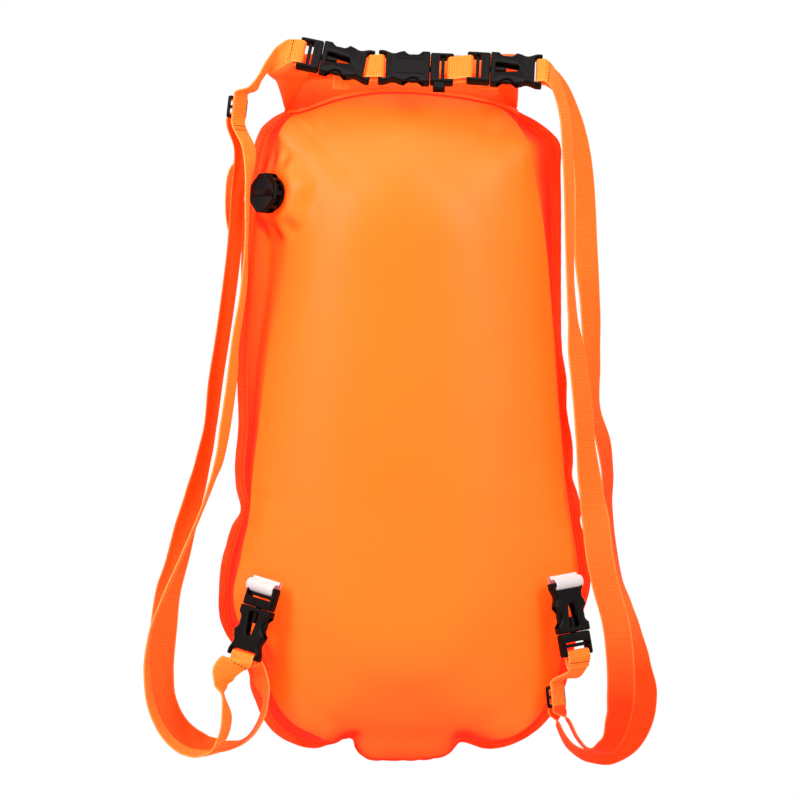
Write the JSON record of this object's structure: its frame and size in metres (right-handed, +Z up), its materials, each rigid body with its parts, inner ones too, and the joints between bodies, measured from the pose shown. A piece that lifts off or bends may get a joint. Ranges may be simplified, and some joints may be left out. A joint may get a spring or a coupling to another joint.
{
  "type": "open water swim buoy",
  "caption": "Inflated open water swim buoy with a rolled dry-bag mouth, a twist valve, side-release buckles and adjustable webbing shoulder straps.",
  "frame": {"origin": "hang point under the middle of the row of top buckles", "axes": "+Z up along the bag, strap side facing -Y, +X to the right seen from the strap side"},
  "size_m": [0.4586, 0.162, 0.6493],
  "materials": {
    "coated_fabric": "smooth coated woven fabric, satin",
    "liner_fabric": "smooth coated woven fabric, matte",
    "webbing": "woven webbing, matte",
    "black_plastic": "moulded, slightly glossy",
    "white_coated_strip": "smooth coating",
    "rubber": "matte",
    "stiffener_plastic": "matte"
  },
  "bodies": {
    "root": {"front_panel": "coated_fabric", "rear_panel": "coated_fabric", "dry_liner": "liner_fabric", "collar": "coated_fabric", "roll_top": "coated_fabric", "mouth_stiffener": "stiffener_plastic", "tab_left": "white_coated_strip", "tab_right": "white_coated_strip", "roll_tab_left": "webbing", "roll_tab_right": "webbing", "side_handle": "webbing", "link_left": "webbing", "strap_left_upper": "webbing", "strap_left_front": "webbing", "strap_left_rear": "webbing", "strap_right_front": "webbing", "strap_right_rear": "webbing", "strap_right_lower": "webbing", "valve_base": "black_plastic", "valve_seal": "rubber", "valve_flap": "rubber", "top_left_female": "black_plastic", "top_centre_female": "black_plastic", "low_left_male": "black_plastic", "low_right_female": "black_plastic"},
    "knob": {"valve_knob": "black_plastic"},
    "left_slider": {"triglide_left": "black_plastic"},
    "right_slider": {"triglide_right": "black_plastic"},
    "top_left_insert": {"top_left_male": "black_plastic"},
    "top_left_prong_upper": {"top_left_prong_a": "black_plastic"},
    "top_left_prong_lower": {"top_left_prong_b": "black_plastic"},
    "row_right": {"top_centre_male": "black_plastic", "link_right": "webbing", "top_right_male": "black_plastic"},
    "top_centre_prong_under": {"top_centre_prong_a": "black_plastic"},
    "top_centre_prong_over": {"top_centre_prong_b": "black_plastic"},
    "top_right_prong_upper": {"top_right_prong_a": "black_plastic"},
    "top_right_prong_lower": {"top_right_prong_b": "black_plastic"},
    "top_right_hook": {"top_right_female": "black_plastic"},
    "low_left_socket": {"low_left_female": "black_plastic"},
    "low_left_prong_inner": {"low_left_prong_a": "black_plastic"},
    "low_left_prong_outer": {"low_left_prong_b": "black_plastic"},
    "low_right_insert": {"low_right_male": "black_plastic"},
    "low_right_prong_inner": {"low_right_prong_a": "black_plastic"},
    "low_right_prong_outer": {"low_right_prong_b": "black_plastic"}
  },
  "joints": [
    {"name": "valve_turn", "type": "hinge", "parent": "root", "child": "knob", "pos_m": [-0.11567, 0.02618, -0.09438], "axis": [-0.7552, -0.647, 0.1056], "range_deg": [0, 90]},
    {"name": "left_adjust", "type": "slide", "parent": "root", "child": "left_slider", "axis": [-0.1104, 0, -0.9939], "range_m": [-0.008, 0.012], "deforming": ["strap_left_upper"]},
    {"name": "right_adjust", "type": "slide", "parent": "root", "child": "right_slider", "axis": [0.0963, 0, -0.9954], "range_m": [-0.003, 0.015], "deforming": ["strap_right_lower"]},
    {"name": "top_left_release", "type": "slide", "parent": "root", "child": "top_left_insert", "axis": [-0.9787, 0, 0.2052], "range_m": [0, 0.022]},
    {"name": "top_left_flex_upper", "type": "hinge", "parent": "top_left_insert", "child": "top_left_prong_upper", "pos_m": [-0.06993, 0.00695, 0.03598], "axis": [-0.1189, 0.815, -0.5672], "range_deg": [0, 16]},
    {"name": "top_left_flex_lower", "type": "hinge", "parent": "top_left_insert", "child": "top_left_prong_lower", "pos_m": [-0.07394, -0.00695, 0.01683], "axis": [0.1189, -0.815, 0.5672], "range_deg": [0, 16]},
    {"name": "row_release", "type": "slide", "parent": "root", "child": "row_right", "axis": [0.9993, 0, -0.0367], "range_m": [0, 0.022]},
    {"name": "top_centre_flex_under", "type": "hinge", "parent": "row_right", "child": "top_centre_prong_under", "pos_m": [0.02125, -0.00705, 0.00682], "axis": [-0.0216, 0.8092, -0.5871], "range_deg": [0, 16]},
    {"name": "top_centre_flex_over", "type": "hinge", "parent": "row_right", "child": "top_centre_prong_over", "pos_m": [0.02196, 0.00705, 0.02623], "axis": [0.0216, -0.8092, 0.5871], "range_deg": [0, 16]},
    {"name": "top_right_release", "type": "slide", "parent": "row_right", "child": "top_right_hook", "axis": [0.9985, 0, -0.055], "range_m": [0, 0.022], "deforming": ["strap_right_front", "strap_right_rear"]},
    {"name": "top_right_flex_upper", "type": "hinge", "parent": "row_right", "child": "top_right_prong_upper", "pos_m": [0.079, 0.00705, 0.02609], "axis": [-0.0323, 0.8094, -0.5863], "range_deg": [0, 16]},
    {"name": "top_right_flex_lower", "type": "hinge", "parent": "row_right", "child": "top_right_prong_lower", "pos_m": [0.07793, -0.00705, 0.00669], "axis": [0.0323, -0.8094, 0.5863], "range_deg": [0, 16]},
    {"name": "low_left_release", "type": "slide", "parent": "root", "child": "low_left_socket", "axis": [-0.2853, 0, -0.9584], "range_m": [0, 0.022], "deforming": ["strap_left_front", "strap_left_rear"]},
    {"name": "low_left_flex_inner", "type": "hinge", "parent": "root", "child": "low_left_prong_inner", "pos_m": [-0.12069, -0.00919, -0.46717], "axis": [0.5745, 0.8005, -0.171], "range_deg": [0, 16]},
    {"name": "low_left_flex_outer", "type": "hinge", "parent": "root", "child": "low_left_prong_outer", "pos_m": [-0.1391, 0.00519, -0.46169], "axis": [-0.5745, -0.8005, 0.171], "range_deg": [0, 16]},
    {"name": "low_right_release", "type": "slide", "parent": "root", "child": "low_right_insert", "axis": [0.1677, 0, -0.9858], "range_m": [0, 0.022]},
    {"name": "low_right_flex_inner", "type": "hinge", "parent": "low_right_insert", "child": "low_right_prong_inner", "pos_m": [0.14075, -0.00932, -0.48448], "axis": [-0.6016, 0.7922, -0.1023], "range_deg": [0, 16]},
    {"name": "low_right_flex_outer", "type": "hinge", "parent": "low_right_insert", "child": "low_right_prong_outer", "pos_m": [0.15949, 0.00532, -0.48129], "axis": [0.6016, -0.7922, 0.1023], "range_deg": [0, 16]}
  ],
  "couplings": [
    {"joint": "top_left_flex_upper", "follows": "top_left_release", "rad_per_m": 12},
    {"joint": "top_left_flex_lower", "follows": "top_left_release", "rad_per_m": 12},
    {"joint": "top_centre_flex_under", "follows": "row_release", "rad_per_m": 12},
    {"joint": "top_centre_flex_over", "follows": "row_release", "rad_per_m": 12},
    {"joint": "top_right_flex_upper", "follows": "top_right_release", "rad_per_m": 12},
    {"joint": "top_right_flex_lower", "follows": "top_right_release", "rad_per_m": 12},
    {"joint": "low_left_flex_inner", "follows": "low_left_release", "rad_per_m": 12},
    {"joint": "low_left_flex_outer", "follows": "low_left_release", "rad_per_m": 12},
    {"joint": "low_right_flex_inner", "follows": "low_right_release", "rad_per_m": 12},
    {"joint": "low_right_flex_outer", "follows": "low_right_release", "rad_per_m": 12}
  ]
}
